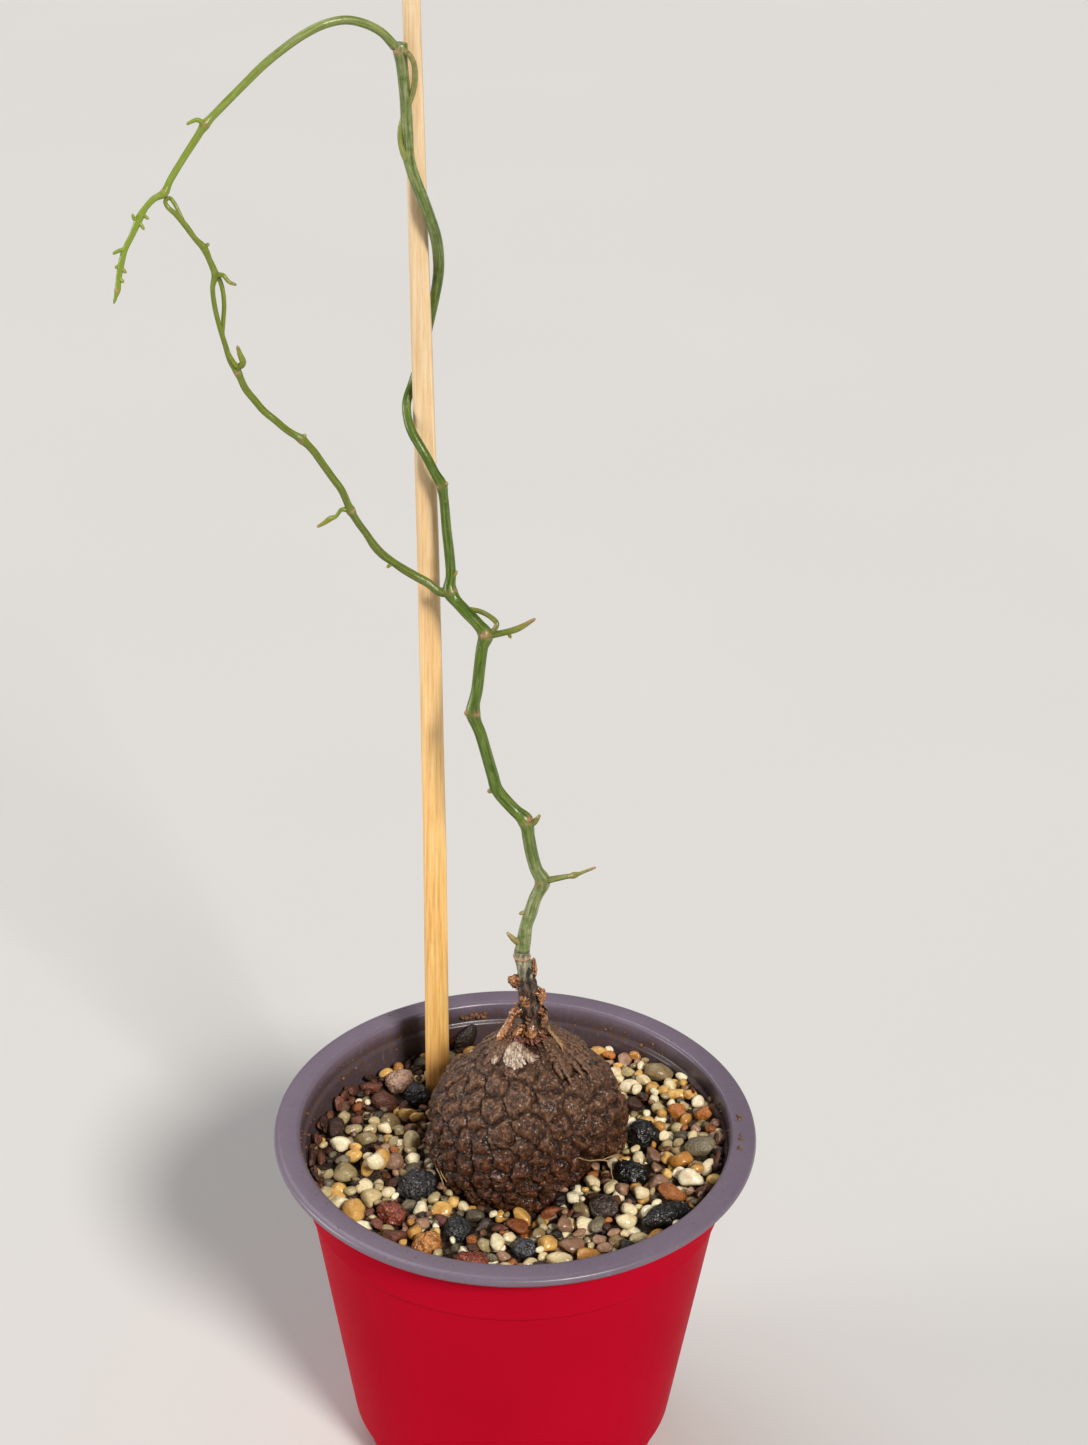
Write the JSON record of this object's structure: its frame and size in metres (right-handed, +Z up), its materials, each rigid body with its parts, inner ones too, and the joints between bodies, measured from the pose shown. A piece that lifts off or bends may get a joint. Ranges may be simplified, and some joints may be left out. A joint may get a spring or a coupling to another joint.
{
  "type": "potted caudex plant",
  "caption": "Corky plated caudex half buried in a gravel-topped round nursery pot, with a thin zig-zag vine that twines up a bamboo stake and arches over to one side.",
  "frame": {"origin": "centre of the flat bottom that the pot stands on", "axes": "+Z up along the pot's axis, -Y towards the front seen in the picture, +X to its right"},
  "size_m": [0.1478, 0.12, 0.382],
  "materials": {
    "pot": "thin moulded plastic with a soft sheen: crimson outside, grey-mauve inside and on the rim",
    "soil": "damp dark potting mix",
    "gravel": "loose rounded pebbles, white, cream, ochre, grey-green, pinkish and brown",
    "corky_bark": "rough matte cork in raised plates with dark cracks between them",
    "papery_bark": "dark dry bark with orange-brown papery scales",
    "green_stem": "smooth living green stem with a faint bloom",
    "young_stem": "smooth glaucous green turning lime at the tip",
    "branch_stem": "smooth living green stem, yellower at its tips",
    "bamboo": "smooth split bamboo, pale straw to golden, fine fibres",
    "dark_lava": "rough pitted black lava",
    "charcoal": "rough black charcoal with faint sheen",
    "slate": "rough dark grey stone",
    "brown_lava": "rough dark brown lava",
    "red_lava": "rough pitted dark red lava",
    "ochre_lava": "rough ochre lava",
    "rosy_stone": "matte pinkish-tan stone"
  },
  "bodies": {
    "root": {"pot": "pot", "soil": "soil", "gravel": "gravel", "caudex": "corky_bark", "woody_base": "papery_bark", "main_stem": "green_stem", "arching_shoot": "young_stem", "side_branch": "branch_stem", "stake": "bamboo", "lava_left": "dark_lava", "lava_back": "dark_lava", "lava_front": "dark_lava", "charcoal_right": "charcoal", "charcoal_low": "charcoal", "charcoal_long": "charcoal", "slate_stone": "slate", "brown_stone": "brown_lava", "red_stone": "red_lava", "brick_stone": "red_lava", "ochre_stone": "ochre_lava", "rosy_stone": "rosy_stone"}
  },
  "joints": []
}
